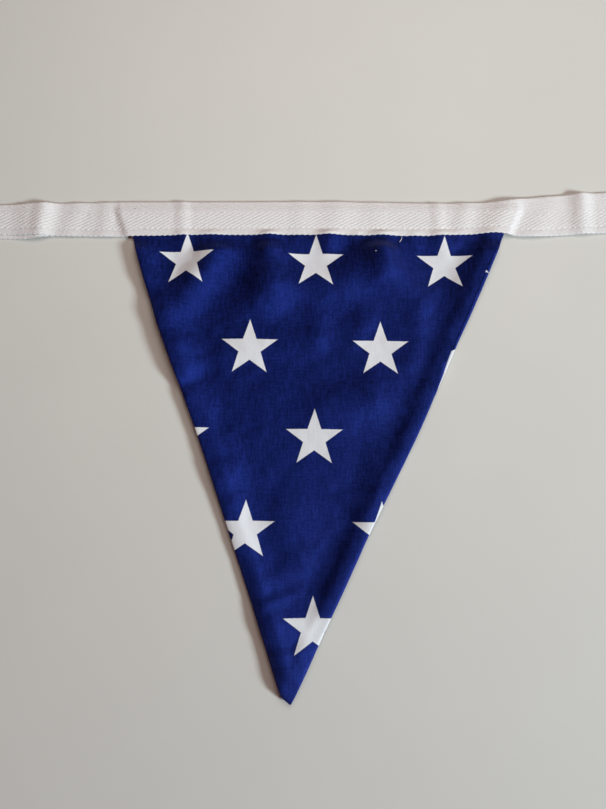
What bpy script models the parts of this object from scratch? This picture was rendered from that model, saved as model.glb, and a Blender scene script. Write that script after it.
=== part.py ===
"""Fabric bunting: one pennant of two cloth panels on a folded tape, lying on a flat surface.

Metres, +Z up, the surface at z = 0. +X runs along the tape and +Y from the pennant's tip
towards the tape. The origin is at the middle of the bounding box, on the surface.
The sizes and tables below are in millimetres, on a plan whose x = 0 is the pennant's
middle at the tape's lower edge and whose y = 0 is that edge.
"""

from collections import namedtuple
from math import ceil, cos, exp, hypot, pi, radians, sin

import bpy
from mathutils import Vector
from mathutils.geometry import delaunay_2d_cdt

MM = 0.001

# Cloth
CLOTH = 1.15             # thickness of each sheet, measured upright
GAP = 0.4                # clear space between two sheets, also upright
LAYER = CLOTH + GAP      # from one sheet's underside to the next one's

# Pennant
TIP_X = -13.0            # the tip lies left of the middle
TIP_DROP = 207.0         # from the tape's lower edge to the tip
TUCK = 11.5              # how far the raw top edge reaches up inside the tape
NET = 5.0                # spacing of the net of points over each panel
RIM_CLEAR = 2.6          # the net's inner points keep this far from the outline
SLIVER = 0.4             # a narrower strip of the back panel isn't made
HUG = 0.6                # the folds sink this much, so that low ones lie on the surface
LANDING = 0.5            # and bend softly onto it over this height
HELD_DROP = 1.6          # the pennant keeps the tape's height down to here
FREE_DROP = 9.0          # and from here on it has its own folds

# Tape
TAPE_REACH = 157.5       # from the middle to each cut end
TAPE_RISE = 22.6         # highest point of the folded edge, at the right end
STATIONS = 100           # steps along the tape
CREST_START = 4.4        # the tape starts to come down this far outside the pennant's sides
CREST_RUN = 7.0          # and lies flat on itself after this run
CAP_STEPS = 4            # steps round the folded edge
FLAT_END = 11.0          # the last stretch at each end lies flat
TAPE_DEEP = 16.0         # from the tape's lower edge to its fold, over the pennant
WAVE_HUG = 0.15          # the waves sink this much, so that their feet lie on the surface
RAW_CLEAR = 0.8          # the layers stay apart to this far past the raw edge
CLOSING_RUN = 2.4        # and close over this run
SECTION_ROWS = (0.0, 0.33, 0.66, 1.0)   # the section's rows, from a lower edge upwards

ORIGIN_Y = (TIP_DROP - TAPE_RISE) / 2   # puts the box's middle at y = 0

# The pennant's sides, from inside the tape down to the tip
Level = namedtuple("Level", "drop left right")
LEVELS = (
    Level(-11.5, -90.6, 91.8),
    Level(0.0, -86.7, 86.7),
    Level(24.0, -79.4, 76.3),
    Level(48.0, -71.6, 65.2),
    Level(94.0, -54.4, 44.0),
    Level(138.0, -39.5, 21.4),
    Level(167.0, -29.7, 7.4),
    Level(204.4, -17.4, -10.8),
)

# The strip of the back panel that shows beside the front panel's right side
Show = namedtuple("Show", "drop width")
BACK_SHOWS = (
    Show(-11.5, 1.2),
    Show(0.0, 1.3),
    Show(20.0, 1.9),
    Show(45.0, 1.7),
    Show(60.0, 1.2),
    Show(74.0, 0.0),
    Show(204.4, 0.0),
)

# The tape's edges on the plan: the front layer's lower edge, the folded edge on top,
# and how far the back layer shows below the front one
Edge = namedtuple("Edge", "x lower upper peek")
EDGES = (
    Edge(-157.5, 0.1, 14.3, 1.6),
    Edge(-134.0, -0.4, 15.0, 1.6),
    Edge(-120.0, -0.7, 15.3, -0.4),
    Edge(-88.0, -1.0, 15.9, -0.6),
    Edge(-60.0, -0.6, 15.9, -0.6),
    Edge(0.0, -0.5, 16.1, -0.6),
    Edge(40.0, -1.0, 15.6, -0.6),
    Edge(62.0, -0.8, 15.3, -0.6),
    Edge(84.0, 0.1, 16.1, -0.6),
    Edge(97.0, -1.0, 17.7, -0.6),
    Edge(120.0, 0.1, 19.8, -0.4),
    Edge(157.5, 2.3, 22.6, -0.4),
)

# Soft waves of the tape: where each crest crosses the tape's middle, how far its foot
# is, how high it stands at the lower edge, how much it leans to the right from bottom to
# top, and the share of its height that is left at the folded edge
Wave = namedtuple("Wave", "x foot height lean top")
WAVES = (
    Wave(-134.0, 9.0, 1.0, 0.0, 1.0),
    Wave(-128.0, 4.5, 1.5, 0.1, 1.0),
    Wave(-114.0, 5.0, 0.5, 0.3, 1.0),
    Wave(-99.0, 4.5, 0.5, 0.1, 1.0),
    Wave(86.0, 8.0, 1.0, 0.5, 1.0),
    Wave(104.0, 8.0, 1.0, 0.5, 0.5),
    Wave(124.0, 4.5, 1.0, 0.0, 2.0),
)

# Folds of the pennant. Each runs along a path of points (x, y, height); a negative height
# is a trough. Reach is the distance at which a fold has mostly faded.
Fold = namedtuple("Fold", "name reach path")
FOLDS = (
    Fold("lifted left side", 12.0,
         ((-87, -2, 3.5), (-71, -50, 3.0), (-59, -82, 3.5), (-48, -112, 2.5), (-19, -198, 2.0))),
    Fold("corner ridge", 6.0, ((-82, -6, 1.0), (-80, -22, 1.5))),
    Fold("shoulder ridge", 9.0, ((-46, -8, 4.5), (-56, -22, 5.0), (-70, -41, 2.5))),
    Fold("second ridge", 10.0, ((-23, -5, 4.0), (-23, -22, 4.5), (-28, -31, 3.5), (-38, -38, 1.5))),
    Fold("side pocket", 8.0, ((-64, -55, 3.0), (-62, -66, 2.0))),
    Fold("side pocket crease", 4.0, ((-70, -78, -1.0), (-60, -71, -1.5), (-48, -64, -0.5))),
    Fold("upper band", 11.0, ((-18, -27, 2.5), (4, -24, 3.0), (26, -17, 4.0))),
    Fold("right shoulder", 9.0, ((28, -3, 5.0), (34, -17, 4.0), (46, -32, 3.0))),
    Fold("middle ridge", 6.0, ((0, -40, 1.0), (-1, -53, 0.5))),
    Fold("middle ripple", 9.0, ((-42, -56, 1.5), (-24, -52, 1.5), (-4, -50, 1.5))),
    Fold("star ridge", 7.0, ((17, -50, 1.0), (21, -41, 1.5))),
    Fold("middle swell", 12.0, ((4, -81, 2.0), (24, -77, 3.0))),
    Fold("left dimple", 4.0, ((-42, -86, -1.0), (-32, -81, -1.0))),
    Fold("left swell", 9.0, ((-42, -102, 1.0), (-41, -110, 2.0), (-38, -119, 1.0))),
    Fold("low swell", 12.0, ((-15, -130, 2.0), (-8, -144, 2.0))),
    Fold("right side", 11.0, ((81, -8, 4.5), (74, -23, 4.0), (67, -40, 3.5))),
    Fold("right seam", 8.0,
         ((59, -58, 2.0), (50, -76, 2.0), (43, -90, 3.0), (33, -113, 2.0), (20, -136, 2.0),
          (14, -147, 3.5), (7, -162, 3.5), (-1, -178, 1.5), (-5, -192, 1.5))),
    Fold("right ridge", 6.0, ((45, -46, 1.0), (42, -60, 1.5))),
    Fold("low right ridge", 8.0, ((26, -107, 1.5), (20, -125, 1.5))),
    Fold("tip fold", 6.0, ((-24, -175, 1.0), (-10, -173, 1.0))),
    Fold("raised tip", 12.0, ((-15, -160, 1.0), (-13, -180, 2.0), (-13, -200, 2.0))),
)


def ramp(value):
    """0 below 0, 1 above 1 and a soft S between."""
    t = min(max(value, 0.0), 1.0)
    return t * t * (3 - 2 * t)


def read(table, column, at):
    """A column of a table at a place in its first column, on a smooth curve through its rows."""
    places = [row[0] for row in table]
    values = [getattr(row, column) for row in table]
    last = len(table) - 1
    k = 0
    while k < last - 1 and at > places[k + 1]:
        k += 1

    def slope(i):
        lo, hi = max(i - 1, 0), min(i + 1, last)
        return (values[hi] - values[lo]) / (places[hi] - places[lo])

    run = places[k + 1] - places[k]
    t = min(max((at - places[k]) / run, 0.0), 1.0)
    rise = values[k + 1] - values[k]
    bend_a = slope(k) * run - rise
    bend_b = rise - slope(k + 1) * run
    return values[k] + rise * t + t * (1 - t) * ((1 - t) * bend_a + t * bend_b)


def left_side(drop):
    return read(LEVELS, "left", drop)


def right_side(drop):
    return read(LEVELS, "right", drop)


def back_shows(drop):
    """Width of the back panel's strip at a level, none where it would be a sliver."""
    width = read(BACK_SHOWS, "width", drop)
    return width if width > SLIVER else 0.0


def front_right(drop):
    """The front panel's right side, set in where the back panel shows."""
    return right_side(drop) - back_shows(drop)


# ---------------------------------------------------------------- heights

def fold_height(fold, x, y):
    """The strongest pull of a fold's stretches at one point."""
    strongest = 0.0
    for (ax, ay, ah), (bx, by, bh) in zip(fold.path, fold.path[1:]):
        run_x, run_y = bx - ax, by - ay
        t = ((x - ax) * run_x + (y - ay) * run_y) / (run_x ** 2 + run_y ** 2)
        t = min(max(t, 0.0), 1.0)
        away = hypot(x - ax - t * run_x, y - ay - t * run_y)
        pull = (ah + t * (bh - ah)) * exp(-(away / fold.reach) ** 2)
        if abs(pull) > abs(strongest):
            strongest = pull
    return strongest


def land(height):
    """A height that sinks below the surface bends softly to lie flat on it."""
    if height > LANDING:
        return height
    return max(height + LANDING, 0.0) ** 2 / (4 * LANDING)


def tape_lift(x, y):
    """Height of the tape's underside, flat on the surface between its waves."""
    total = 0.0
    for wave in WAVES:
        away = x - wave.x - wave.lean * (y - TAPE_DEEP / 2)
        height = wave.height * (1 + (wave.top - 1) * min(max(y / TAPE_DEEP, 0.0), 1.0))
        total += height * exp(-(away / wave.foot) ** 2)
    inside = ramp((TAPE_REACH - FLAT_END - abs(x)) / FLAT_END)
    return max(total - WAVE_HUG, 0.0) * inside


def pennant_lift(x, y):
    """Height of the back panel's underside above the surface."""
    settled = land(sum(fold_height(fold, x, y) for fold in FOLDS) - HUG)
    held = tape_lift(x, y) + LAYER
    free = ramp((-y - HELD_DROP) / (FREE_DROP - HELD_DROP))
    return settled * free + held * (1 - free)


def outside_pennant(x, y):
    """How far a point of the tape lies beyond the pennant's nearer side."""
    return max(left_side(-y) - x, x - right_side(-y))


def tape_opening(x, y):
    """Height of the space between the tape's two layers."""
    over = 1 - ramp((outside_pennant(x, y) - CREST_START) / CREST_RUN)
    above_raw_edge = 1 - ramp((y - TUCK - RAW_CLEAR) / CLOSING_RUN)
    return GAP + 2 * LAYER * over * above_raw_edge


# ---------------------------------------------------------------- meshes

def cotton(name, colour):
    """Matt woven cotton."""
    material = bpy.data.materials.new(name)
    material.use_nodes = True
    shader = material.node_tree.nodes["Principled BSDF"]
    shader.inputs["Base Color"].default_value = (*colour, 1.0)
    shader.inputs["Roughness"].default_value = 0.85
    shader.inputs["Metallic"].default_value = 0.0
    return material


def add_solid(name, points, faces, material):
    """A named object from points in millimetres on the plan."""
    mesh = bpy.data.meshes.new(name)
    mesh.from_pydata([(x * MM, (y + ORIGIN_Y) * MM, z * MM) for x, y, z in points], [], faces)
    mesh.materials.append(material)
    mesh.shade_smooth()
    mesh.set_sharp_from_angle(angle=radians(50))
    solid = bpy.data.objects.new(name, mesh)
    bpy.context.scene.collection.objects.link(solid)
    return solid


def pennant_drops():
    """Evenly spaced levels from the raw top edge down to the tip's corners."""
    bottom = LEVELS[-1].drop
    steps = ceil((bottom + TUCK) / NET)
    return [-TUCK + (bottom + TUCK) * k / steps for k in range(steps + 1)]


def pennant_rims():
    """Rim points, and the rims of the front panel and of the strip where the back panel shows."""
    drops = pennant_drops()
    points = [(left_side(drop), -drop) for drop in drops] + [(TIP_X, -TIP_DROP)]
    left_and_tip = list(range(len(points)))

    front_side = []
    back_side = []
    for drop in drops:
        front_side.append(len(points))
        points.append((front_right(drop), -drop))
        if back_shows(drop) > 0.0:
            back_side.append(len(points))
            points.append((right_side(drop), -drop))

    across = points[front_side[0]][0] - points[0][0]
    count = ceil(across / NET)
    top = range(len(points), len(points) + count - 1)
    points += [(points[front_side[0]][0] - across * k / count, TUCK) for k in range(1, count)]

    front_rim = left_and_tip + front_side[::-1] + list(top)
    strip_rim = back_side[::-1] + front_side[:len(back_side) + 1]
    return points, front_rim, strip_rim


def room_inside(x, y, a, b):
    """Distance from a point to one rim edge, negative on the edge's outer side."""
    run_x, run_y = b[0] - a[0], b[1] - a[1]
    return (run_x * (y - a[1]) - run_y * (x - a[0])) / hypot(run_x, run_y)


def net_points(rim):
    """A triangular net of points inside a rim, clear of its edges."""
    points = []
    edges = list(zip(rim, rim[1:] + rim[:1]))
    row_step = NET * sin(radians(60))
    columns = ceil(max(x for x, _ in rim) / NET)
    for row in range(1, ceil((TIP_DROP + TUCK) / row_step)):
        y = TUCK - row * row_step
        for column in range(-columns, columns + 1):
            x = (column + 0.5 * (row % 2)) * NET
            if min(room_inside(x, y, a, b) for a, b in edges) > RIM_CLEAR:
                points.append((x, y))
    return points


def pennant_net():
    """The plan both panels share: its points, the front's triangles and the strip's."""
    points, front_rim, strip_rim = pennant_rims()
    points += net_points([points[k] for k in front_rim])
    flat = [Vector(point) for point in points]
    rims = [front_rim, strip_rim]
    plan, _, triangles, _, _, sources = delaunay_2d_cdt(flat, [], rims, 1, 1e-6)
    front = [t for t, source in zip(triangles, sources) if 0 in source]
    strip = [t for t, source in zip(triangles, sources) if 0 not in source]
    return plan, front, strip


def add_panel(name, layer, plan, triangles, material):
    """One cloth panel: triangles of the plan lifted onto the folds and given a thickness."""
    used = sorted({k for triangle in triangles for k in triangle})
    number = {k: i for i, k in enumerate(used)}
    net = [tuple(number[k] for k in triangle) for triangle in triangles]
    count = len(used)

    under = []
    for k in used:
        x, y = plan[k]
        under.append((x, y, pennant_lift(x, y) + layer * LAYER))
    over = [(x, y, z + CLOTH) for x, y, z in under]

    faces = [triangle[::-1] for triangle in net]
    faces += [tuple(k + count for k in triangle) for triangle in net]
    edges = {edge for t in net for edge in zip(t, t[1:] + t[:1])}
    for a, b in sorted(edges):
        if (b, a) not in edges:
            faces.append((a, b, b + count))
            faces.append((a, b + count, a + count))
    return add_solid(name, under + over, faces, material)


def tape_section(x):
    """The tape's cross-section at one station, once round: front layer, fold, back layer."""
    lower = read(EDGES, "lower", x)
    upper = read(EDGES, "upper", x)
    back_lower = lower - read(EDGES, "peek", x)
    cap = CLOTH + GAP / 2               # radius of the folded edge
    fold_y = upper - cap
    closing = TUCK + RAW_CLEAR
    front = [lower + (closing - lower) * t for t in SECTION_ROWS] + [(closing + fold_y) / 2, fold_y]
    back = [back_lower + (fold_y - back_lower) * t for t in SECTION_ROWS]

    section = []
    for y in front:
        section.append((x, y, tape_lift(x, y) + 2 * CLOTH + tape_opening(x, y)))
    centre_z = tape_lift(x, fold_y) + CLOTH + GAP / 2
    for k in range(1, CAP_STEPS):
        turn = pi / 2 - pi * k / CAP_STEPS
        section.append((x, fold_y + cap * cos(turn), centre_z + cap * sin(turn)))
    for y in reversed(back):
        section.append((x, y, tape_lift(x, y)))
    for y in back:
        section.append((x, y, tape_lift(x, y) + CLOTH))
    for y in reversed(front):
        section.append((x, y, tape_lift(x, y) + CLOTH + tape_opening(x, y)))
    return section


def add_tape(material):
    """The folded tape, swept along its stations between two square-cut ends."""
    xs = [-TAPE_REACH + 2 * TAPE_REACH * k / STATIONS for k in range(STATIONS + 1)]
    sections = [tape_section(x) for x in xs]
    around = len(sections[0])
    points = [point for section in sections for point in section]
    faces = []
    for station in range(STATIONS):
        for k in range(around):
            a = station * around + k
            b = station * around + (k + 1) % around
            faces.append((a, b + around, b))
            faces.append((a, a + around, b + around))
    faces.append(tuple(range(around)))
    faces.append(tuple(reversed(range(STATIONS * around, (STATIONS + 1) * around))))
    return add_solid("tape", points, faces, material)


for old in list(bpy.data.objects):
    bpy.data.objects.remove(old, do_unlink=True)

blue_cotton = cotton("blue_cotton", (0.010, 0.016, 0.110))
white_tape = cotton("white_cotton_tape", (0.78, 0.77, 0.75))

pennant_plan, front_net, strip_net = pennant_net()
add_panel("flag_back", 0, pennant_plan, front_net + strip_net, blue_cotton)
add_panel("flag_front", 1, pennant_plan, front_net, blue_cotton)
add_tape(white_tape)
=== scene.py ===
"""The looks of the fabric bunting: two panels of star-print cotton on a folded herringbone tape.

Sizes and tables are in millimetres on the cloth's plan, whose x = 0 is the pennant's middle at
the tape's lower edge and whose y = 0 is that edge. The cloth's shape repeats the solids' tables,
and the finer folds, the rolled edges, the tape's ribs and the stitches are added to it here.
The floor, the lights and the camera are in metres, in the part's own frame.
"""

from collections import namedtuple
from math import ceil, cos, hypot, pi, radians, sin

import bmesh
import bpy
import numpy as np
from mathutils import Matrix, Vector
from mathutils.geometry import delaunay_2d_cdt


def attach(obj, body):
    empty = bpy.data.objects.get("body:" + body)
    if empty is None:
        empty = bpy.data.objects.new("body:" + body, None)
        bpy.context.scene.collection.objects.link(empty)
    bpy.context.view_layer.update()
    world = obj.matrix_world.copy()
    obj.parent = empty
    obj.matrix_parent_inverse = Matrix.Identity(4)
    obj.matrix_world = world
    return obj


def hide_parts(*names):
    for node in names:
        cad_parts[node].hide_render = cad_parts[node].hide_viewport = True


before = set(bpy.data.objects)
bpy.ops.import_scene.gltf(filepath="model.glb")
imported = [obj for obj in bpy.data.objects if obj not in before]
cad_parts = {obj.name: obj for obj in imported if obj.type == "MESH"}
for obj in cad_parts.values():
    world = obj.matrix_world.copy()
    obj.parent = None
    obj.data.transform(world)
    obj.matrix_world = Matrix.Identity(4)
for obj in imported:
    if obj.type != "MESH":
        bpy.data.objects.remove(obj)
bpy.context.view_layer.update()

MM = 0.001               # one millimetre, in metres

# ---------------------------------------------------------------- sizes shared with the solids

TIP_X = -13.0            # the tip lies left of the middle
TIP_DROP = 207.0         # from the tape's lower edge to the tip
TUCK = 11.5              # how far the raw top edge reaches up inside the tape
HUG = 0.6                # the folds sink this much, so that low ones lie on the surface
LANDING = 0.5            # and bend softly onto it over this height
HELD_DROP = 1.6          # the pennant keeps the tape's height down to here
FREE_DROP = 9.0          # and from here on it has its own folds

TAPE_REACH = 157.5       # from the middle to each cut end
TAPE_RISE = 22.6         # highest point of the folded edge, at the right end
FLAT_END = 11.0          # the last stretch at each end lies flat
TAPE_DEEP = 16.0         # from the tape's lower edge to its fold, over the pennant
WAVE_HUG = 0.15          # the waves sink this much, so that their feet lie on the surface

ORIGIN_Y = (TIP_DROP - TAPE_RISE) / 2   # puts the middle of the solids' box at y = 0

# The pennant's sides, from inside the tape down to the tip
Level = namedtuple("Level", "drop left right")
LEVELS = (
    Level(-11.5, -90.6, 91.8),
    Level(0.0, -86.7, 86.7),
    Level(24.0, -79.4, 76.3),
    Level(48.0, -71.6, 65.2),
    Level(94.0, -54.4, 44.0),
    Level(138.0, -39.5, 21.4),
    Level(167.0, -29.7, 7.4),
    Level(204.4, -17.4, -10.8),
)

# The strip of the back panel that shows beside the front panel's right side
Show = namedtuple("Show", "drop width")
BACK_SHOWS = (
    Show(-11.5, 1.2),
    Show(0.0, 1.3),
    Show(20.0, 1.9),
    Show(45.0, 1.7),
    Show(60.0, 1.2),
    Show(74.0, 0.0),
    Show(204.4, 0.0),
)

# The tape's edges on the plan: the front layer's lower edge, the folded edge on top,
# and how far the back layer shows below the front one
Edge = namedtuple("Edge", "x lower upper peek")
EDGES = (
    Edge(-157.5, 0.1, 14.3, 1.6),
    Edge(-134.0, -0.4, 15.0, 1.6),
    Edge(-120.0, -0.7, 15.3, -0.4),
    Edge(-88.0, -1.0, 15.9, -0.6),
    Edge(-60.0, -0.6, 15.9, -0.6),
    Edge(0.0, -0.5, 16.1, -0.6),
    Edge(40.0, -1.0, 15.6, -0.6),
    Edge(62.0, -0.8, 15.3, -0.6),
    Edge(84.0, 0.1, 16.1, -0.6),
    Edge(97.0, -1.0, 17.7, -0.6),
    Edge(120.0, 0.1, 19.8, -0.4),
    Edge(157.5, 2.3, 22.6, -0.4),
)

# Soft waves of the tape: where each crest crosses the tape's middle, how far its foot
# is, how high it stands at the lower edge, how much it leans to the right from bottom to
# top, and the share of its height that is left at the folded edge
Wave = namedtuple("Wave", "x foot height lean top")
WAVES = (
    Wave(-134.0, 9.0, 1.0, 0.0, 1.0),
    Wave(-128.0, 4.5, 1.5, 0.1, 1.0),
    Wave(-114.0, 5.0, 0.5, 0.3, 1.0),
    Wave(-99.0, 4.5, 0.5, 0.1, 1.0),
    Wave(86.0, 8.0, 1.0, 0.5, 1.0),
    Wave(104.0, 8.0, 1.0, 0.5, 0.5),
    Wave(124.0, 4.5, 1.0, 0.0, 2.0),
)

# Folds of the pennant. Each runs along a path of points (x, y, height); a negative height
# is a trough. Reach is the distance at which a fold has mostly faded.
Fold = namedtuple("Fold", "name reach path")
FOLDS = (
    Fold("lifted left side", 12.0,
         ((-87, -2, 3.5), (-71, -50, 3.0), (-59, -82, 3.5), (-48, -112, 2.5), (-19, -198, 2.0))),
    Fold("corner ridge", 6.0, ((-82, -6, 1.0), (-80, -22, 1.5))),
    Fold("shoulder ridge", 9.0, ((-46, -8, 4.5), (-56, -22, 5.0), (-70, -41, 2.5))),
    Fold("second ridge", 10.0, ((-23, -5, 4.0), (-23, -22, 4.5), (-28, -31, 3.5), (-38, -38, 1.5))),
    Fold("side pocket", 8.0, ((-64, -55, 3.0), (-62, -66, 2.0))),
    Fold("side pocket crease", 4.0, ((-70, -78, -1.0), (-60, -71, -1.5), (-48, -64, -0.5))),
    Fold("upper band", 11.0, ((-18, -27, 2.5), (4, -24, 3.0), (26, -17, 4.0))),
    Fold("right shoulder", 9.0, ((28, -3, 5.0), (34, -17, 4.0), (46, -32, 3.0))),
    Fold("middle ridge", 6.0, ((0, -40, 1.0), (-1, -53, 0.5))),
    Fold("middle ripple", 9.0, ((-42, -56, 1.5), (-24, -52, 1.5), (-4, -50, 1.5))),
    Fold("star ridge", 7.0, ((17, -50, 1.0), (21, -41, 1.5))),
    Fold("middle swell", 12.0, ((4, -81, 2.0), (24, -77, 3.0))),
    Fold("left dimple", 4.0, ((-42, -86, -1.0), (-32, -81, -1.0))),
    Fold("left swell", 9.0, ((-42, -102, 1.0), (-41, -110, 2.0), (-38, -119, 1.0))),
    Fold("low swell", 12.0, ((-15, -130, 2.0), (-8, -144, 2.0))),
    Fold("right side", 11.0, ((81, -8, 4.5), (74, -23, 4.0), (67, -40, 3.5))),
    Fold("right seam", 8.0,
         ((59, -58, 2.0), (50, -76, 2.0), (43, -90, 3.0), (33, -113, 2.0), (20, -136, 2.0),
          (14, -147, 3.5), (7, -162, 3.5), (-1, -178, 1.5), (-5, -192, 1.5))),
    Fold("right ridge", 6.0, ((45, -46, 1.0), (42, -60, 1.5))),
    Fold("low right ridge", 8.0, ((26, -107, 1.5), (20, -125, 1.5))),
    Fold("tip fold", 6.0, ((-24, -175, 1.0), (-10, -173, 1.0))),
    Fold("raised tip", 12.0, ((-15, -160, 1.0), (-13, -180, 2.0), (-13, -200, 2.0))),
)

# ---------------------------------------------------------------- finer forms, made only here

# The pennant's panels
PANEL = 0.30             # thickness of a cotton panel
PENNANT = 1.0            # from the back panel's underside to the front panel's top
RIM = 1.45               # the same at the rolled edge, with the seam allowances inside
ALLOWANCE = 8.4          # how far in the seam allowances reach
ALLOWANCE_SOFT = 2.6     # their inner edge shows as a step this soft
NET = 1.0                # spacing of the points over a panel
NET_CLEAR = 0.6          # the net stays this far from the rolled edge
ONLY_INSIDE = 1          # the kind of net that keeps only the triangles inside its outline
SAME_POINT = 1e-6        # points nearer than this are one
RIM_STEP = 1.0           # spacing of the points along the pennant's edge
RIM_SAMPLES = 400        # points read along each side before they are spaced evenly
TIP_DRAWN_IN = 1.5       # the tip's point stands out this far before the edge is evened
SHARP_ANGLE = radians(70)   # faces that meet at more than this are shaded apart
HALF_RIM = RIM / 2       # half the rolled edge's height

# The rolled edge: how far in from it the panels start to turn, on each side
Roll = namedtuple("Roll", "drop left right")
ROLLS = (
    Roll(-11.5, 2.3, 1.1),
    Roll(110.0, 2.3, 1.1),
    Roll(155.0, 4.2, 1.4),
    Roll(204.4, 4.2, 1.8),
)
ROLL_SHOWN = 0.45        # the roll widens by this share of the back panel's strip
ROLL_TIP = 0.45          # share of the roll's width left at the tip
ROLL_TIP_RUN = 14.0      # it narrows over this last stretch
ROLL_STEPS = 8           # steps round each panel's part of the roll
SEAM_DEPTH = 0.32        # the groove along the seam
SEAM_REACH = 0.42        # and how far from the seam it has mostly faded
SEAM_SLIT = radians(2)   # half the slit between the panels, round the roll

# Short puckers where the tape is sewn on: crest, foot and height; they fade down the panel
Pucker = namedtuple("Pucker", "x foot height")
PUCKERS = (
    Pucker(-63.0, 4.0, 0.5),
    Pucker(-50.0, 6.0, 1.0),
    Pucker(-23.0, 4.5, 1.5),
    Pucker(4.5, 4.5, 1.5),
    Pucker(18.0, 2.5, 0.5),
    Pucker(30.0, 5.5, 1.5),
    Pucker(45.0, 3.0, 0.5),
    Pucker(59.0, 6.0, 1.0),
    Pucker(79.0, 5.0, 0.5),
)
PUCKER_FULL = 4.0        # full height down to this drop
PUCKER_END = 16.0        # gone at this drop
PUCKER_TAPE = 2.5        # and gone this far up the tape

# The cloth's faint waviness: slow waves in all directions, whose crests bend
CRUMPLE_WAVES = 14
CRUMPLE_SHORT = 5.0      # shortest and longest wave
CRUMPLE_LONG = 19.0
CRUMPLE_SLOPE = 0.0024   # each wave's height as a share of its length
CRUMPLE_SHIFT = 0.37     # spreads the waves' starts, in wavelengths
CRUMPLE_BEND = 1.4       # how far a crest bends, in radians of its wave
CRUMPLE_BEND_RUN = 2.7   # and over how many wavelengths
GOLDEN_TURN = 2.39996    # spreads the waves' directions

# Smaller waves of the tape, over the pennant
RIPPLES = (
    Wave(-63.0, 3.5, 0.5, 0.0, 1.5),
    Wave(-8.0, 6.0, 0.4, 0.1, 1.0),
    Wave(9.0, 8.0, 0.6, 0.1, 1.0),
    Wave(28.0, 6.0, 0.3, 0.0, 1.0),
    Wave(56.0, 3.5, 0.6, 0.0, 1.0),
    Wave(68.0, 4.5, 0.6, 0.2, 1.0),
    Wave(86.0, 8.0, 0.5, 0.5, 1.0),
)

# Small ridges and dips of the front panel only
CREASES = (
    Fold("left allowance ridge", 5.0, ((-37, -125, 0.4), (-25, -160, 0.8), (-14, -192, 0.8))),
    Fold("high tip wrinkle", 3.0, ((-26, -158, 0.4), (-8, -152, 0.3))),
    Fold("tip wrinkle", 2.5, ((-25, -167, 0.6), (-9, -162, 0.4))),
    Fold("low tip wrinkle", 2.5, ((-20, -188, 0.6), (-9, -186, 0.4))),
    Fold("star dip", 2.5, ((-4, -180, -0.3), (0, -174, -0.3))),
)

# Tape
TWILL = 0.55             # thickness of the tape
SLIP = 0.15              # clear space between the tape and what it holds
TAPE_STATIONS = 630      # steps along the tape
FRONT_ROWS = 62          # rows of points over the front layer
BACK_ROWS = 44           # and over the back layer
INNER_ROWS = 6           # and over its inner side; the front layer's has twice as many
TAPE_CORNER = (0.18, 0.05)   # the front layer's first rows sink this much, round the cut edge
TAPE_CAP = 0.7           # how far the fold rounds over, seen from above
TAPE_CAP_STEPS = 6
TAPE_CLIMB = 1.0         # the tape starts to come down this far outside the pennant's sides
TAPE_CLIMB_RUN = 4.6     # and lies flat on itself after this run
CLOSING_START = 1.0      # the layers come together from this far below the raw edge,
CLOSING_RUN = 5.5        # over this run,
CLOSING_SHARE = 0.75     # and lose this share of the opening
RIB_PITCH = 1.37         # herringbone ribs, square across them
RIB_HEIGHT = 0.095       # from their middle height to their top
RIB_RISE = radians(28)   # slope of the lower column's ribs
RIB_FALL = radians(23)   # slope of the upper column's ribs, the other way
RIB_FADE = 1.0           # the ribs fade out over this last stretch below the fold
BORDER = 3.3             # the plain border below the stitches
COLUMN = 7.5             # width of a herringbone column
COLUMN_SOFT = 0.35       # the ribs change over this far to each side of a column's edge
BORDER_RIB = 1.25        # pitch of the border's small ribs, along the tape
BORDER_LEAN = 0.3        # how many of them a line straight up crosses in a millimetre
BORDER_HEIGHT = 0.07     # from their middle height to their top
GROOVE_DEPTH = 0.22      # where the stitches pull the tape in
GROOVE_REACH = 0.55      # and how far from them it has mostly faded

# Stitches
STITCH_PITCH = 2.5
STITCH_LENGTH = 2.05     # of the part that shows
STITCH_RINGS = 7         # rings of points along a stitch
STITCH_RADIUS = 0.19
STITCH_BLUNT = 0.06      # how blunt its ends are, as a share of the radius squared
STITCH_ARCH = 0.12       # a stitch stands this much higher in its middle
STITCH_SUNK = 0.08       # and its ends lie this deep in the tape
STITCH_BACK_ARCH = 0.10  # on the back, its middle hangs this much lower
SCALLOP = 0.13           # the lower edge draws in between the stitches

# Loose bits of thread on the front panel: a stray end below the tape, and a speck of lint
LOOSE_THREADS = (
    ((39.0, -1.6), (38.8, -2.4), (38.4, -3.2), (37.8, -4.0)),
    ((25.7, -10.2), (26.0, -10.0), (26.4, -10.1)),
)
LOOSE_RADIUS = 0.11


def ramp(value):
    """0 below 0, 1 above 1 and a soft S between."""
    t = np.clip(value, 0.0, 1.0)
    return t * t * (3 - 2 * t)


def read(table, column, at):
    """A column of a table at places in its first column, on a smooth curve through its rows."""
    places = np.array([row[0] for row in table])
    values = np.array([getattr(row, column) for row in table])
    last = len(table) - 1
    slopes = []                          # at each row, between its neighbours
    for i in range(last + 1):
        lo, hi = max(i - 1, 0), min(i + 1, last)
        slopes.append((values[hi] - values[lo]) / (places[hi] - places[lo]))
    slopes = np.array(slopes)

    k = np.searchsorted(places[1:-1], at, side="left")
    run = places[k + 1] - places[k]
    t = np.clip((at - places[k]) / run, 0.0, 1.0)
    rise = values[k + 1] - values[k]
    bend_a = slopes[k] * run - rise
    bend_b = rise - slopes[k + 1] * run
    return values[k] + rise * t + t * (1 - t) * ((1 - t) * bend_a + t * bend_b)


def left_side(drop):
    """The pennant's left side, at drops below the tape's lower edge."""
    return read(LEVELS, "left", drop)


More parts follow.
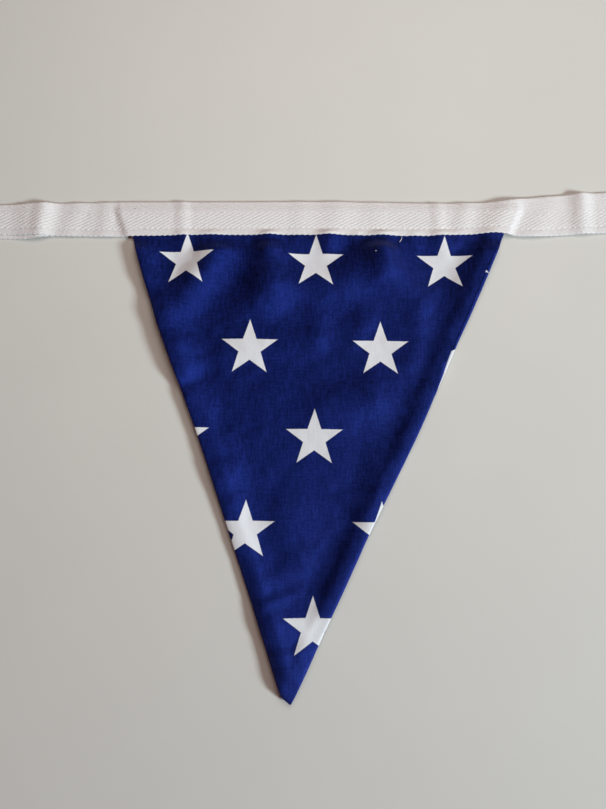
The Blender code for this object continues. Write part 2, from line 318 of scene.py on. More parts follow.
def right_side(drop):
    """The pennant's right side, as far out as the back panel reaches."""
    return read(LEVELS, "right", drop)


# ---------------------------------------------------------------- heights

def fold_height(fold, x, y):
    """The strongest pull of a fold's stretches at each point."""
    strongest = np.zeros_like(x)
    for (ax, ay, ah), (bx, by, bh) in zip(fold.path, fold.path[1:]):
        run_x, run_y = bx - ax, by - ay
        t = ((x - ax) * run_x + (y - ay) * run_y) / (run_x ** 2 + run_y ** 2)
        t = np.clip(t, 0.0, 1.0)
        away = np.hypot(x - ax - t * run_x, y - ay - t * run_y)
        pull = (ah + t * (bh - ah)) * np.exp(-(away / fold.reach) ** 2)
        strongest = np.where(np.abs(pull) > np.abs(strongest), pull, strongest)
    return strongest


def land(height):
    """A height that sinks below the surface bends softly to lie flat on it."""
    low = np.maximum(height + LANDING, 0.0) ** 2 / (4 * LANDING)
    return np.where(height > LANDING, height, low)


def pucker_height(x, y):
    """The sewn puckers, shared by the tape's front layer and the cloth under it."""
    total = np.zeros_like(x)
    for pucker in PUCKERS:
        total += pucker.height * np.exp(-((x - pucker.x) / pucker.foot) ** 2)
    down = 1 - ramp((-y - PUCKER_FULL) / (PUCKER_END - PUCKER_FULL))
    up = 1 - ramp(y / PUCKER_TAPE)
    return total * down * up


def tape_lift(x, y):
    """Height of the tape's underside, flat on the surface between its waves."""
    total = np.zeros_like(x)
    for wave in WAVES + RIPPLES:
        away = x - wave.x - wave.lean * (y - TAPE_DEEP / 2)
        height = wave.height * (1 + (wave.top - 1) * np.clip(y / TAPE_DEEP, 0.0, 1.0))
        total += height * np.exp(-(away / wave.foot) ** 2)
    inside = ramp((TAPE_REACH - FLAT_END - np.abs(x)) / FLAT_END)
    return np.maximum(total - WAVE_HUG, 0.0) * inside


def pennant_lift(x, y):
    """Height of the back panel's underside above the surface."""
    settled = land(sum(fold_height(fold, x, y) for fold in FOLDS) - HUG)
    held = tape_lift(x, y) + TWILL + SLIP
    free = ramp((-y - HELD_DROP) / (FREE_DROP - HELD_DROP))
    return settled * free + held * (1 - free) + pucker_height(x, y) + crumple(x, y) * free


def crease_height(x, y):
    """Height of the front panel's own small ridges and dips."""
    return sum(fold_height(fold, x, y) for fold in CREASES)


def crumple(x, y):
    """The faint uneven waviness of washed cotton, as a sum of slow waves in all directions."""
    total = np.zeros_like(x)
    for k in range(CRUMPLE_WAVES):
        turn = GOLDEN_TURN * k
        length = CRUMPLE_SHORT * (CRUMPLE_LONG / CRUMPLE_SHORT) ** (k / (CRUMPLE_WAVES - 1))
        phase = 2 * pi * ((x * cos(turn) + y * sin(turn)) / length + CRUMPLE_SHIFT * k * k)
        sway = np.sin(2 * pi * (y * cos(turn) - x * sin(turn)) / (CRUMPLE_BEND_RUN * length) + k)
        total += CRUMPLE_SLOPE * length * np.sin(phase + CRUMPLE_BEND * sway)
    return total


def thickness(x, y):
    """The pennant's thickness, greater along its sides over the seam allowances."""
    inside = np.minimum(x - left_side(-y), right_side(-y) - x)
    past_allowance = ramp((inside - ALLOWANCE) / (2 * ALLOWANCE_SOFT) + 0.5)
    return PENNANT + (RIM - PENNANT) * (1 - past_allowance)


def outside_pennant(x, y):
    """How far a point of the tape lies beyond the pennant's nearer side."""
    return np.maximum(left_side(-y) - x, x - right_side(-y))


def tape_opening(x, y):
    """Height of the space between the tape's two layers."""
    over = 1 - ramp((outside_pennant(x, y) - TAPE_CLIMB) / TAPE_CLIMB_RUN)
    above_raw_edge = ramp((y - TUCK + CLOSING_START) / CLOSING_RUN)
    return SLIP + (PENNANT + SLIP) * over * (1 - CLOSING_SHARE * above_raw_edge)


# ---------------------------------------------------------------- meshes

def place(points):
    """Points in millimetres on the plan, as metres in the part's frame."""
    return (np.asarray(points, float) + (0.0, ORIGIN_Y, 0.0)) * MM


def add_piece(name, points, faces, material, cloth=None):
    """A smooth closed mesh with its faces turned out, and the cloth's own flat coordinates."""
    mesh = bpy.data.meshes.new(name)
    mesh.from_pydata(place(points).tolist(), [], faces)
    if cloth is not None:
        flat = mesh.attributes.new("cloth", "FLOAT_VECTOR", "POINT")
        flat.data.foreach_set("vector", np.asarray(cloth, np.float32).ravel())
    shell = bmesh.new()
    shell.from_mesh(mesh)
    bmesh.ops.recalc_face_normals(shell, faces=shell.faces)
    shell.to_mesh(mesh)
    shell.free()
    mesh.shade_smooth()
    mesh.set_sharp_from_angle(angle=SHARP_ANGLE)
    mesh.materials.append(material)
    piece = bpy.data.objects.new(name, mesh)
    bpy.context.scene.collection.objects.link(piece)
    return piece


# ---------------------------------------------------------------- the pennant's two panels

def pennant_rim():
    """Even points down the left side, round the blunt tip and up the right side.

    The directions that face outwards from them come with them.
    """
    drops = np.linspace(-TUCK, LEVELS[-1].drop, RIM_SAMPLES)
    left = np.column_stack([left_side(drops), -drops])
    right = np.column_stack([right_side(drops), -drops])
    path = np.vstack([left, [(TIP_X, -TIP_DROP - TIP_DRAWN_IN)], right[::-1]])
    along = np.concatenate([[0.0], np.cumsum(np.hypot(*np.diff(path, axis=0).T))])
    steps = np.linspace(0.0, along[-1], ceil(along[-1] / RIM_STEP) + 1)
    rim = np.column_stack([np.interp(steps, along, path[:, k]) for k in (0, 1)])
    rim[1:-1] = (rim[:-2] + 2 * rim[1:-1] + rim[2:]) / 4
    tangent = np.gradient(rim, axis=0)
    tangent /= np.hypot(*tangent.T)[:, None]
    outward = np.column_stack([tangent[:, 1], -tangent[:, 0]])
    return rim, outward


def rolls(rim):
    """At each rim point, the width of the rolled edge and the seam's place round it."""
    drop = -rim[:, 1]
    tip = int(np.argmax(drop))
    on_right = np.arange(len(rim)) > tip
    shown = np.where(on_right, np.maximum(read(BACK_SHOWS, "width", drop), 0.0), 0.0)
    right = read(ROLLS, "right", drop) + ROLL_SHOWN * shown
    wide = np.where(on_right, right, read(ROLLS, "left", drop))
    narrowing = ramp((TIP_DROP - drop) / ROLL_TIP_RUN)
    wide = wide * (ROLL_TIP + (1 - ROLL_TIP) * narrowing)
    seam = np.arccos(np.clip(1 - shown / wide, 0.0, 1.0))
    return wide, seam


def inside_points(polygon):
    """A triangular net of points inside a polygon, clear of its edges."""
    row_step = NET * sin(radians(60))
    bottom, top = polygon[:, 1].min(), polygon[:, 1].max()
    points = []
    ends = np.roll(polygon, -1, axis=0)
    for row, y in enumerate(np.arange(top - row_step, bottom, -row_step)):
        a, b = polygon[:, 1] > y, ends[:, 1] > y
        crossing = a != b
        if not crossing.any():
            continue
        share = (y - polygon[crossing, 1]) / (ends[crossing, 1] - polygon[crossing, 1])
        cuts = polygon[crossing, 0] + share * (ends[crossing, 0] - polygon[crossing, 0])
        left, right = cuts.min() + NET_CLEAR, cuts.max() - NET_CLEAR
        shift = 0.5 * (row % 2)          # every second row is moved by half a step
        first = ceil(left / NET - shift)
        count = int((right / NET - shift) - first) + 1
        points += [((first + k + shift) * NET, y) for k in range(count)]
    return np.array(points)


# The plan that both panels share: the rim, the directions out from it, the roll's width and
# the seam's place round it, the flat field's points and triangles, and how many of the points
# lie across the top between the two sides
Plan = namedtuple("Plan", "rim outward wide seam points triangles across")


def panel_plan():
    """Works out the plan. The flat field's points start with the rim's, then the top's."""
    rim, outward = pennant_rim()
    wide, seam = rolls(rim)
    inner = rim - outward * wide[:, None]
    count = ceil((inner[-1, 0] - inner[0, 0]) / NET)
    share = np.arange(1, count)[:, None] / count
    top = inner[-1] + (inner[0] - inner[-1]) * share
    polygon = np.vstack([inner, top])
    points = np.vstack([polygon, inside_points(polygon)])
    flat = [Vector(point) for point in points]
    outline = [range(len(polygon))]
    _, _, triangles, origins, _, _ = delaunay_2d_cdt(flat, [], outline, ONLY_INSIDE, SAME_POINT)
    number = [origin[0] for origin in origins]
    triangles = [tuple(number[k] for k in triangle) for triangle in triangles]
    return Plan(rim, outward, wide, seam, points, triangles, len(top))


def roll_ring(plan, turn, depth, front):
    """One ring of points of the rolled edge, at turns round it and a depth under its surface."""
    inset = plan.wide * (1 - np.cos(turn))
    out = np.column_stack([np.cos(turn) / plan.wide, np.sin(turn) / HALF_RIM])
    out /= np.hypot(*out.T)[:, None]
    from_seam = (turn - plan.seam) * (plan.wide + HALF_RIM) / 2
    sunk = SEAM_DEPTH * np.exp(-(from_seam / SEAM_REACH) ** 2) + depth
    on_plan = plan.rim - plan.outward * (inset + sunk * out[:, 0])[:, None]
    x, y = (plan.rim - plan.outward * inset[:, None]).T
    height = pennant_lift(x, y) + HALF_RIM * (1 + np.sin(turn)) - sunk * out[:, 1]
    if front:
        height += crease_height(x, y) * np.maximum(np.sin(turn), 0.0)
    return np.column_stack([on_plan, height])


def panel_points(plan, front):
    """A panel's outer side, its inner side and its flat coordinates.

    Each is the flat field and then ring after ring round the roll to the seam.
    """
    side = 1.0 if front else -1.0
    count = len(plan.rim)
    x, y = plan.points.T
    z = pennant_lift(x, y)
    if front:
        z = z + thickness(x, y) + crease_height(x, y)
    outer = [np.column_stack([x, y, z])]
    inner = [np.column_stack([x, y, z - side * PANEL])]
    cloth = [np.column_stack([x, y, np.zeros_like(x)])]

    start = side * pi / 2
    end = plan.seam + side * SEAM_SLIT
    run = np.zeros(count)
    before = np.column_stack([plan.wide, np.full(count, side * HALF_RIM)])
    for step in range(1, ROLL_STEPS + 1):
        turn = start + (end - start) * step / ROLL_STEPS
        outer.append(roll_ring(plan, turn, 0.0, front))
        inner.append(roll_ring(plan, turn, PANEL, front))
        section = np.column_stack([plan.wide * (1 - np.cos(turn)), HALF_RIM * np.sin(turn)])
        run = run + np.hypot(*(section - before).T)
        before = section
        flat = plan.rim - plan.outward * (plan.wide - run)[:, None]
        cloth.append(np.column_stack([flat, np.zeros(count)]))
    return outer, inner, cloth


def panel_faces(plan):
    """The faces of both sides, and those that join them along the seam and the raw top edge."""
    count = len(plan.rim)
    layer = len(plan.points) + ROLL_STEPS * count

    def at(step, k):
        return k if step == 0 else len(plan.points) + (step - 1) * count + k

    faces = []
    for base in (0, layer):
        faces += [tuple(base + k for k in triangle) for triangle in plan.triangles]
        for step in range(ROLL_STEPS):
            for k in range(count - 1):
                corners = (at(step, k), at(step, k + 1), at(step + 1, k + 1), at(step + 1, k))
                faces.append(tuple(base + corner for corner in corners))
    seam = [at(ROLL_STEPS, k) for k in range(count)]
    raw_edge = [at(step, count - 1) for step in range(ROLL_STEPS, -1, -1)]
    raw_edge += range(count, count + plan.across)
    raw_edge += [at(step, 0) for step in range(ROLL_STEPS + 1)]
    for edge in (seam, raw_edge):
        for a, b in zip(edge, edge[1:]):
            faces.append((a, b, b + layer, a + layer))
    return faces


def add_panel(name, plan, front, material):
    """One panel: its flat field, its part of the rolled edge and its inner side."""
    outer, inner, cloth = panel_points(plan, front)
    vertices = np.vstack(outer + inner)
    return add_piece(name, vertices, panel_faces(plan), material, np.vstack(cloth + cloth))


# ---------------------------------------------------------------- the tape

def herringbone(x, up):
    """Rib height at a distance up from the tape's lower edge."""
    rise = (up * cos(RIB_RISE) - x * sin(RIB_RISE)) / RIB_PITCH
    fall = (up * cos(RIB_FALL) + x * sin(RIB_FALL)) / RIB_PITCH
    lower = np.cos(2 * pi * rise)
    upper = np.cos(2 * pi * fall)
    border = np.cos(2 * pi * (x / BORDER_RIB + BORDER_LEAN * up)) * BORDER_HEIGHT / RIB_HEIGHT
    in_upper = ramp((up - BORDER - COLUMN + COLUMN_SOFT) / (2 * COLUMN_SOFT))
    in_lower = ramp((up - BORDER + COLUMN_SOFT) / (2 * COLUMN_SOFT)) - in_upper
    in_border = 1 - in_lower - in_upper
    return RIB_HEIGHT * (lower * in_lower + upper * in_upper + border * in_border)


def groove(up):
    """How far the stitches pull the tape in, at a distance up from its lower edge."""
    return GROOVE_DEPTH * np.exp(-((up - BORDER) / GROOVE_REACH) ** 2)


def tape_edges(x):
    """The front layer's lower edge, the back layer's and the fold's line at each station."""
    scallop = SCALLOP * np.cos(2 * pi * x / STITCH_PITCH)
    lower = read(EDGES, "lower", x)
    back_lower = lower - read(EDGES, "peek", x)
    fold = read(EDGES, "upper", x) - TAPE_CAP
    return lower + scallop, back_lower + scallop, fold


def front_top(x, y):
    """The tape's upper surface without its ribs."""
    up = y - read(EDGES, "lower", x)
    return tape_lift(x, y) + pucker_height(x, y) + 2 * TWILL + tape_opening(x, y) - groove(up)


def tape_rows():
    """The tape's cross-section at every station, as rows of points round it once."""
    x = np.linspace(-TAPE_REACH, TAPE_REACH, TAPE_STATIONS + 1)
    low, back_low, fold = tape_edges(x)
    rows = []

    def row(y, z):
        rows.append(np.column_stack([x, y, z]))

    # Up the front layer, from its lower edge to the fold
    corners = TAPE_CORNER + (0.0,) * (FRONT_ROWS - len(TAPE_CORNER))
    for t, corner in zip(np.linspace(0.0, 1.0, FRONT_ROWS), corners):
        y = low + (fold - low) * t
        ribs = herringbone(x, y - low) * ramp((fold - y) / RIB_FADE)
        row(y, front_top(x, y) + ribs - corner)
    # Round the fold
    bulge = TWILL + tape_opening(x, fold) / 2
    for k in range(1, TAPE_CAP_STEPS):
        turn = pi / 2 - pi * k / TAPE_CAP_STEPS
        row(fold + TAPE_CAP * cos(turn), tape_lift(x, fold) + bulge * (1 + sin(turn)))
    # Down the back layer's underside
    for t in np.linspace(1.0, 0.0, BACK_ROWS):
        y = back_low + (fold - back_low) * t
        up = y - back_low
        hollows = (RIB_HEIGHT - herringbone(x, up)) * ramp((fold - y) / RIB_FADE) / 2
        row(y, tape_lift(x, y) + hollows + groove(up))
    # Up the back layer's inner side and down the front layer's
    for t in np.linspace(0.0, 1.0, INNER_ROWS):
        y = back_low + (fold - back_low) * t
        row(y, tape_lift(x, y) + TWILL)
    for t in np.linspace(1.0, 0.0, INNER_ROWS * 2):
        y = low + (fold - low) * t
        row(y, front_top(x, y) - TWILL)
    return np.array(rows)


def add_tape(material):
    """The folded tape as one swept sheet between two cut ends."""
    rows = tape_rows()
    around, stations = rows.shape[:2]
    vertices = rows.reshape(-1, 3)
    faces = []
    for i in range(around):
        a, b = i * stations, (i + 1) % around * stations
        for k in range(stations - 1):
            faces.append((a + k, a + k + 1, b + k + 1, b + k))
    faces.append(tuple(i * stations for i in range(around)))
    faces.append(tuple(i * stations + stations - 1 for i in range(around - 1, -1, -1)))
    steps = np.hypot(*np.diff(rows[:, :, 1:], axis=0).transpose(2, 0, 1))
    up = np.concatenate([np.zeros((1, stations)), np.cumsum(steps, axis=0)])
    flat = np.dstack([rows[:, :, 0], up, np.zeros_like(up)]).reshape(-1, 3)
    return add_piece("herringbone_tape", vertices, faces, material, flat)


# ---------------------------------------------------------------- sewing thread

def tube(path, radii, sides=6):
    """A closed tube round a path, with a radius at each of its points and flat ends."""
    path = np.asarray(path, float)
    points = []
    tangent = np.gradient(path, axis=0)
    for centre, direction, radius in zip(path, tangent, radii):
        across = np.cross(direction, (0.0, 0.0, 1.0))
        across /= np.linalg.norm(across)
        up = np.cross(across, direction)
        up /= np.linalg.norm(up)
        for k in range(sides):
            turn = 2 * pi * k / sides
            points.append(centre + radius * (cos(turn) * across + sin(turn) * up))
    faces = []
    rings = len(path)
    for ring in range(rings - 1):
        for k in range(sides):
            a, b = ring * sides + k, ring * sides + (k + 1) % sides
            faces.append((a, b, b + sides, a + sides))
    faces.append(tuple(range(sides)))
    faces.append(tuple((rings - 1) * sides + k for k in range(sides - 1, -1, -1)))
    return points, faces


def add_thread(material):
    """The row of stitches on both sides of the tape, and two loose bits of thread."""
    points, faces = [], []

    def join(tube_parts):
        tube_points, tube_faces = tube_parts
        base = len(points)
        points.extend(tube_points)
        faces.extend(tuple(base + k for k in face) for face in tube_faces)

    half = STITCH_LENGTH / 2
    shares = np.linspace(-1.0, 1.0, STITCH_RINGS)
    radii = STITCH_RADIUS * np.sqrt(np.minimum(1 + STITCH_BLUNT - shares ** 2, 1.0))
    count = int((2 * TAPE_REACH - STITCH_PITCH) / STITCH_PITCH)
    for k in range(count):
        x = -TAPE_REACH + STITCH_PITCH * (k + 1) + half * shares
        up = read(EDGES, "lower", x) + BORDER
        arch = STITCH_ARCH * (1 - shares ** 2)
        join(tube(np.column_stack([x, up, front_top(x, up) + arch - STITCH_SUNK]), radii))
        back = up - read(EDGES, "peek", x)
        hang = STITCH_BACK_ARCH * (1 - shares ** 2)
        under = tape_lift(x, back) + GROOVE_DEPTH + STITCH_RADIUS - hang
        join(tube(np.column_stack([x, back, under]), radii))

    for path in LOOSE_THREADS:
        x, y = np.array(path).T
        top = pennant_lift(x, y) + thickness(x, y)
        join(tube(np.column_stack([x, y, top + LOOSE_RADIUS]), np.full(len(x), LOOSE_RADIUS)))
    return add_piece("sewing_thread", points, faces, material)


# ---------------------------------------------------------------- materials

# The sockets for colours on a mix node, which has others for numbers
MIX_A, MIX_B, MIX_RESULT = 6, 7, 2


class Graph:
    """A material's node tree with short calls for arithmetic on its sockets."""

    def __init__(self, name):
        self.material = bpy.data.materials.new(name)
        self.material.use_nodes = True
        self.tree = self.material.node_tree
        self.shader = self.tree.nodes["Principled BSDF"]

    def node(self, kind, **settings):
        made = self.tree.nodes.new(kind)
        for key, value in settings.items():
            setattr(made, key, value)
        return made

    def link(self, value, socket):
        """Feeds a socket from another one, or sets it to a plain value."""
        if isinstance(value, bpy.types.NodeSocket):
            self.tree.links.new(value, socket)
        else:
            socket.default_value = value

    def math(self, operation, *values):
        made = self.node("ShaderNodeMath", operation=operation)
        for value, socket in zip(values, made.inputs):
            self.link(value, socket)
        return made.outputs[0]

    def plus(self, a, b):
        return self.math("ADD", a, b)

    def minus(self, a, b):
        return self.math("SUBTRACT", a, b)

    def times(self, a, b):
        return self.math("MULTIPLY", a, b)

    def ridges(self, value, pitch):
        """Round ridges at an even pitch, from 0 between them to 1 on top."""
        return self.math("ABSOLUTE", self.math("SINE", self.times(value, pi / pitch)))

    def weigh(self, *parts):
        """The sum of values, each times its weight."""
        total = None
        for value, weight in parts:
            term = self.times(value, weight)
            total = term if total is None else self.plus(total, term)
        return total

    def cloth(self):
        """The cloth's own flat coordinates, in millimetres, along and up."""
        made = self.node("ShaderNodeAttribute", attribute_name="cloth")
        split = self.node("ShaderNodeSeparateXYZ")
        self.link(made.outputs["Vector"], split.inputs[0])
        return split.outputs[0], split.outputs[1]

    def vector(self, x, y):
        made = self.node("ShaderNodeCombineXYZ")
        for value, socket in zip((x, y), made.inputs):
            self.link(value, socket)
        return made.outputs[0]

    def noise(self, vector, scale=1.0, detail=2.0, roughness=0.5):
        made = self.node("ShaderNodeTexNoise")
        self.link(vector, made.inputs["Vector"])
        made.inputs["Scale"].default_value = scale
        made.inputs["Detail"].default_value = detail
        made.inputs["Roughness"].default_value = roughness
        return made.outputs[0]

    def streaks(self, u, v, scales, detail, roughness=0.5):
        """Noise with its own scale along and up the cloth, per millimetre."""
        stretched = self.vector(self.times(u, scales[0]), self.times(v, scales[1]))
        return self.noise(stretched, detail=detail, roughness=roughness)

    def span(self, value, low, high):
        """0 at the low end, 1 at the high one and a soft S between."""
        made = self.node("ShaderNodeMapRange", interpolation_type="SMOOTHSTEP")
        for given, name in ((value, "Value"), (low, "From Min"), (high, "From Max")):
            self.link(given, made.inputs[name])
        return made.outputs[0]

    def mix(self, factor, a, b):
        made = self.node("ShaderNodeMix", data_type="RGBA")
        self.link(factor, made.inputs[0])
        for value, socket in ((a, made.inputs[MIX_A]), (b, made.inputs[MIX_B])):
            self.link(value if isinstance(value, bpy.types.NodeSocket) else (*value, 1.0), socket)
        return made.outputs[MIX_RESULT]

    def bump(self, height, distance, strength):
        """Relief in the shader's normal: a height of 1 stands out by the distance, in metres."""
        made = self.node("ShaderNodeBump")
        self.link(height, made.inputs["Height"])
        made.inputs["Distance"].default_value = distance
        made.inputs["Strength"].default_value = strength
        self.link(made.outputs[0], self.shader.inputs["Normal"])

    def set(self, **values):
        """Sets the shader's inputs, whose names have spaces for the underscores."""
        for name, value in values.items():
            self.link(value, self.shader.inputs[name.replace("_", " ")])


# Star print: a lattice of upright five-pointed stars, each row shifted by half a pitch
STAR_PITCH = 59.6        # along a row
STAR_ROW = 40.7          # from row to row
STAR_TURN = radians(0.848)   # the whole lattice leans by this
STAR_RADIUS = 13.3
STAR_WAIST = 0.395       # inner corners at this share of the radius
STAR_SECTOR = radians(36)   # from the middle of a point of the star to its inner corner
STAR_EDGE = 0.16         # softness of the printed edge
STAR_STRAY = 0.35        # how far the printed edge strays from a straight line
STAR_STRAY_SCALE = 2.4   # and how finely, per millimetre
FRONT_STAR = (-60.7, -12.9)   # middle of one star on the front panel, and on the back one
BACK_STAR = (61.0, -64.5)


def star_mask(graph, u, v, origin):
    """1 inside the printed stars and 0 outside them.

    A place is wrapped onto one star of the lattice, and then folded onto half a point of it,
    whose edge is a straight line from the tip to the inner corner.
    """
    g = graph
    du = g.minus(u, origin[0])
    dv = g.minus(v, origin[1])
    c, s = cos(STAR_TURN), sin(STAR_TURN)
    along = g.minus(g.times(du, c), g.times(dv, s))
    up = g.plus(g.times(du, s), g.times(dv, c))
    waist_x = STAR_RADIUS * STAR_WAIST * cos(STAR_SECTOR)
    waist_y = STAR_RADIUS * STAR_WAIST * sin(STAR_SECTOR)
    length = hypot(STAR_RADIUS - waist_x, waist_y)
    across_x, across_y = waist_y / length, (STAR_RADIUS - waist_x) / length
    nearest = None
    for shift in (0.0, 0.5):
        x = g.math("WRAP", g.minus(along, shift * STAR_PITCH), STAR_PITCH / 2, -STAR_PITCH / 2)
        y = g.math("WRAP", g.minus(up, 2 * shift * STAR_ROW), STAR_ROW, -STAR_ROW)
        radius = g.math("SQRT", g.plus(g.times(x, x), g.times(y, y)))
        turn = g.math("ARCTAN2", x, y)
        folded = g.math("ABSOLUTE", g.math("WRAP", turn, STAR_SECTOR, -STAR_SECTOR))
        out = g.minus(g.times(radius, g.math("COSINE", folded)), STAR_RADIUS)
        off = g.times(radius, g.math("SINE", folded))
        beyond = g.plus(g.times(out, across_x), g.times(off, across_y))
        nearest = beyond if nearest is None else g.math("MINIMUM", nearest, beyond)
    stray = g.times(g.minus(g.noise(g.vector(u, v), STAR_STRAY_SCALE), 0.5), STAR_STRAY)
    return g.span(g.plus(nearest, stray), STAR_EDGE, -STAR_EDGE)


# Cotton: a plain weave, with paler streaks of yarn both ways and flecks between them
THREAD = 0.34            # pitch of the threads
THREAD_SWAP = 0.2        # softness of the change from one thread on top to the other
WARP_SCALES = (1.2, 0.16)    # noise along and up the cloth, per millimetre
WEFT_SCALES = (0.16, 1.2)
FLECK_SCALE = 1.1
WARP_SHARE = 0.35        # what each adds to the mottle
WEFT_SHARE = 0.22
FLECK_SHARE = 0.43
MOTTLE_DARK = 0.44       # the mottle's value that looks darkest, and the one that looks palest
MOTTLE_PALE = 0.57
WEAVE_RELIEF = 0.7       # what the threads and the mottle add to the relief
MOTTLE_RELIEF = 2.4
BLUE = (0.0010, 0.0028, 0.021)
BLUE_WORN = (0.0056, 0.0114, 0.088)
PRINT_WHITE = (0.655, 0.675, 0.735)
SHINE = (0.06, 0.13, 1.0)       # colour of the shine on the blue
PLAIN = (0.25, 0.25, 0.25)      # and on the print


def star_cotton(name, origin):
    """Royal-blue plain-weave cotton with a white star print."""
    g = Graph(name)
    u, v = g.cloth()
    warp = g.streaks(u, v, WARP_SCALES, detail=3.0, roughness=0.6)
    weft = g.streaks(u, v, WEFT_SCALES, detail=3.0, roughness=0.6)
    fleck = g.noise(g.vector(u, v), FLECK_SCALE, detail=3.0, roughness=0.8)
    mottle = g.weigh((warp, WARP_SHARE), (weft, WEFT_SHARE), (fleck, FLECK_SHARE))

    over, under = g.ridges(u, THREAD), g.ridges(v, THREAD)
    phase_u = g.math("SINE", g.times(u, pi / (2 * THREAD)))
    phase_v = g.math("SINE", g.times(v, pi / (2 * THREAD)))
    swap = g.span(g.times(phase_u, phase_v), -THREAD_SWAP, THREAD_SWAP)
    weave = g.plus(g.times(over, swap), g.times(under, g.minus(1.0, swap)))

    stars = star_mask(g, u, v, origin)
    blue = g.mix(g.span(mottle, MOTTLE_DARK, MOTTLE_PALE), BLUE, BLUE_WORN)
    g.set(Base_Color=g.mix(stars, blue, PRINT_WHITE), Specular_Tint=g.mix(stars, SHINE, PLAIN),
          Roughness=0.60, IOR=1.75, Specular_IOR_Level=0.9)
    height = g.weigh((weave, WEAVE_RELIEF), (mottle, MOTTLE_RELIEF))
    g.bump(height, distance=0.00011, strength=0.7)
    return g.material


# Tape: thick soft yarn, its threads across the tape and slubs along them
YARN_SCALES = (2.6, 2.0)
SLUB_SCALES = (1.9, 0.25)
YARN_PITCH = 0.42
YARN_RELIEF = 1.0        # what the yarn's grain, the threads and the slubs add to the relief
PITCH_RELIEF = 0.35
SLUB_RELIEF = 0.4
YARN_DARK = 0.3          # the grain's value that looks darkest, and the one that looks palest
YARN_PALE = 0.6
TAPE_DARK = (0.58, 0.565, 0.58)
TAPE_LIGHT = (0.735, 0.72, 0.75)


def tape_cotton(name):
    """White cotton tape of soft yarn."""
    g = Graph(name)
    u, v = g.cloth()
    yarn = g.streaks(u, v, YARN_SCALES, detail=3.0, roughness=0.65)
    slub = g.streaks(u, v, SLUB_SCALES, detail=2.0)
    threads = g.ridges(u, YARN_PITCH)
    g.set(Base_Color=g.mix(g.span(yarn, YARN_DARK, YARN_PALE), TAPE_DARK, TAPE_LIGHT),
          Roughness=0.85, Sheen_Weight=0.08, Sheen_Roughness=0.5)
    height = g.weigh((yarn, YARN_RELIEF), (threads, PITCH_RELIEF), (slub, SLUB_RELIEF))
    g.bump(height, distance=0.00026, strength=0.8)
    return g.material


# Sewing thread
TWIST_SCALE = 4000.0     # per metre
THREAD_DARK = (0.62, 0.61, 0.62)
THREAD_LIGHT = (0.76, 0.75, 0.76)


def thread_cotton(name):
    """White sewing thread with a fine twist."""
    g = Graph(name)
    where = g.node("ShaderNodeTexCoord").outputs["Object"]
    twist = g.noise(where, TWIST_SCALE)
    g.set(Base_Color=g.mix(twist, THREAD_DARK, THREAD_LIGHT), Roughness=0.7)
    g.bump(twist, distance=0.00003, strength=0.5)
    return g.material


# Floor
FLOOR_SCALE = 22.0       # of its mottle, per metre
FLOOR_DARK = (0.565, 0.560, 0.547)
FLOOR_LIGHT = (0.595, 0.590, 0.577)


def floor_paint(name):
    """Plain pale floor, very faintly mottled."""
    g = Graph(name)
    where = g.node("ShaderNodeTexCoord").outputs["Object"]
    mottle = g.noise(where, FLOOR_SCALE, detail=3.0)
    g.set(Base_Color=g.mix(mottle, FLOOR_DARK, FLOOR_LIGHT), Roughness=0.8)
    return g.material


# ---------------------------------------------------------------- pieces

plan = panel_plan()
front_panel = add_panel("front_panel", plan, True, star_cotton("front_star_cotton", FRONT_STAR))
back_panel = add_panel("back_panel", plan, False, star_cotton("back_star_cotton", BACK_STAR))
tape = add_tape(tape_cotton("white_herringbone"))
thread = add_thread(thread_cotton("white_thread"))

for piece in (front_panel, back_panel, tape, thread):
    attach(piece, "root")
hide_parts("flag_front")
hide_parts("flag_back")
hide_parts("tape")

# ---------------------------------------------------------------- floor, light and camera

FLOOR = 1.3              # from the middle to each side


def add_floor():
    """The pale surface that the bunting lies on."""
    corners = [(-FLOOR, -FLOOR, 0), (FLOOR, -FLOOR, 0), (FLOOR, FLOOR, 0), (-FLOOR, FLOOR, 0)]
    mesh = bpy.data.meshes.new("floor")
    mesh.from_pydata(corners, [], [(0, 1, 2, 3)])
    mesh.materials.append(floor_paint("pale_floor"))
    made = bpy.data.objects.new("floor", mesh)
    bpy.context.scene.collection.objects.link(made)
    return made


floor = add_floor()

# The window's light: its direction on the plan, and how far off, how large and how strong it is
KEY_FROM = Vector((0.906, -0.423))
KEY_ELEVATION = radians(27)
KEY_AWAY = 2.2
KEY_SIZE = 0.42
KEY_POWER = 60.0
KEY_COLOUR = (0.87, 1.0, 1.015)

# A weak light from the ceiling
FILL_PLACE = (0.04, 0.23, 0.40)
FILL_SIZE = 0.30
FILL_POWER = 1.17
FILL_COLOUR = (0.95, 0.893, 0.80)

ROOM_GLOW = (0.085, 0.014, 0.006)
BACKDROP = (0.55, 0.54, 0.52)

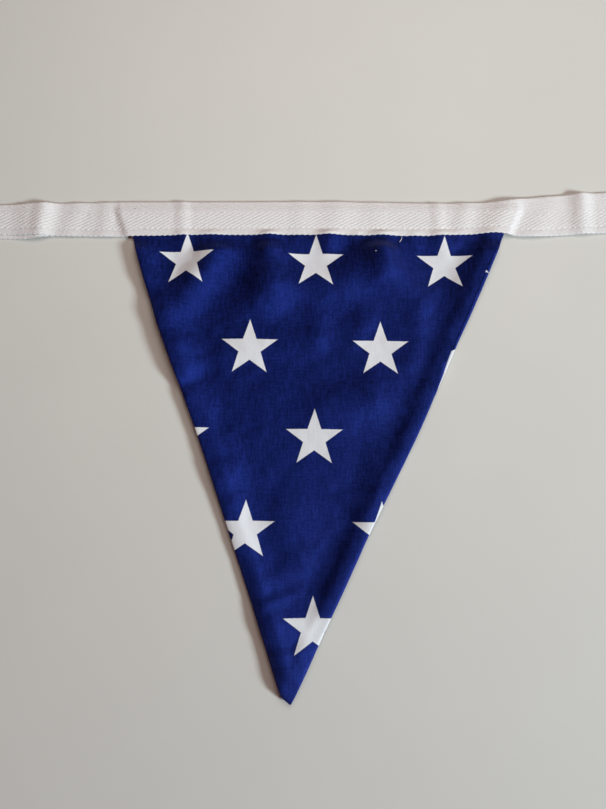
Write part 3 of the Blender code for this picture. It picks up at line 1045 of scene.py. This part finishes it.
CAMERA_PLACE = (-0.0100, -0.0211, 0.2724)
CAMERA_TURN = (0.12276, -0.00946, -0.00345)
CAMERA_LENS = 27.01      # focal length and sensor in millimetres
CAMERA_SENSOR = 36.0
CAMERA_NEAR = 0.01       # nothing nearer than this is seen


def add_area_light(name, where, size, power, colour, shines):
    """A square soft light aimed at the middle of the bunting."""
    lamp = bpy.data.lights.new(name, "AREA")
    lamp.size = size
    lamp.energy = power
    lamp.color = colour
    light = bpy.data.objects.new(name, lamp)
    light.location = where
    light.rotation_mode = "QUATERNION"
    light.rotation_quaternion = Vector(where).to_track_quat("Z", "Y")
    light.visible_camera = False
    light.visible_glossy = shines
    bpy.context.scene.collection.objects.link(light)


def add_room():
    """A faint warm glow from all round, seen as a plain pale backdrop by the camera."""
    world = bpy.data.worlds.new("room")
    world.use_nodes = True
    nodes, links = world.node_tree.nodes, world.node_tree.links
    seen = nodes.new("ShaderNodeLightPath")
    mix = nodes.new("ShaderNodeMix")
    mix.data_type = "RGBA"
    mix.inputs[MIX_A].default_value = (*ROOM_GLOW, 1.0)
    mix.inputs[MIX_B].default_value = (*BACKDROP, 1.0)
    links.new(seen.outputs["Is Camera Ray"], mix.inputs[0])
    links.new(mix.outputs[MIX_RESULT], nodes["Background"].inputs["Color"])
    bpy.context.scene.world = world


def add_camera():
    """The camera, where the photograph was taken from."""
    lens = bpy.data.cameras.new("camera")
    lens.lens = CAMERA_LENS
    lens.sensor_width = CAMERA_SENSOR
    lens.clip_start = CAMERA_NEAR
    camera = bpy.data.objects.new("camera", lens)
    camera.location = CAMERA_PLACE
    camera.rotation_euler = CAMERA_TURN
    bpy.context.scene.collection.objects.link(camera)
    bpy.context.scene.camera = camera


flat_run = KEY_AWAY * cos(KEY_ELEVATION)
key_where = (KEY_FROM.x * flat_run, KEY_FROM.y * flat_run, KEY_AWAY * sin(KEY_ELEVATION))
add_area_light("window", key_where, KEY_SIZE, KEY_POWER, KEY_COLOUR, True)
add_area_light("ceiling", FILL_PLACE, FILL_SIZE, FILL_POWER, FILL_COLOUR, False)
add_room()
add_camera()
bpy.context.scene.view_settings.view_transform = "Standard"
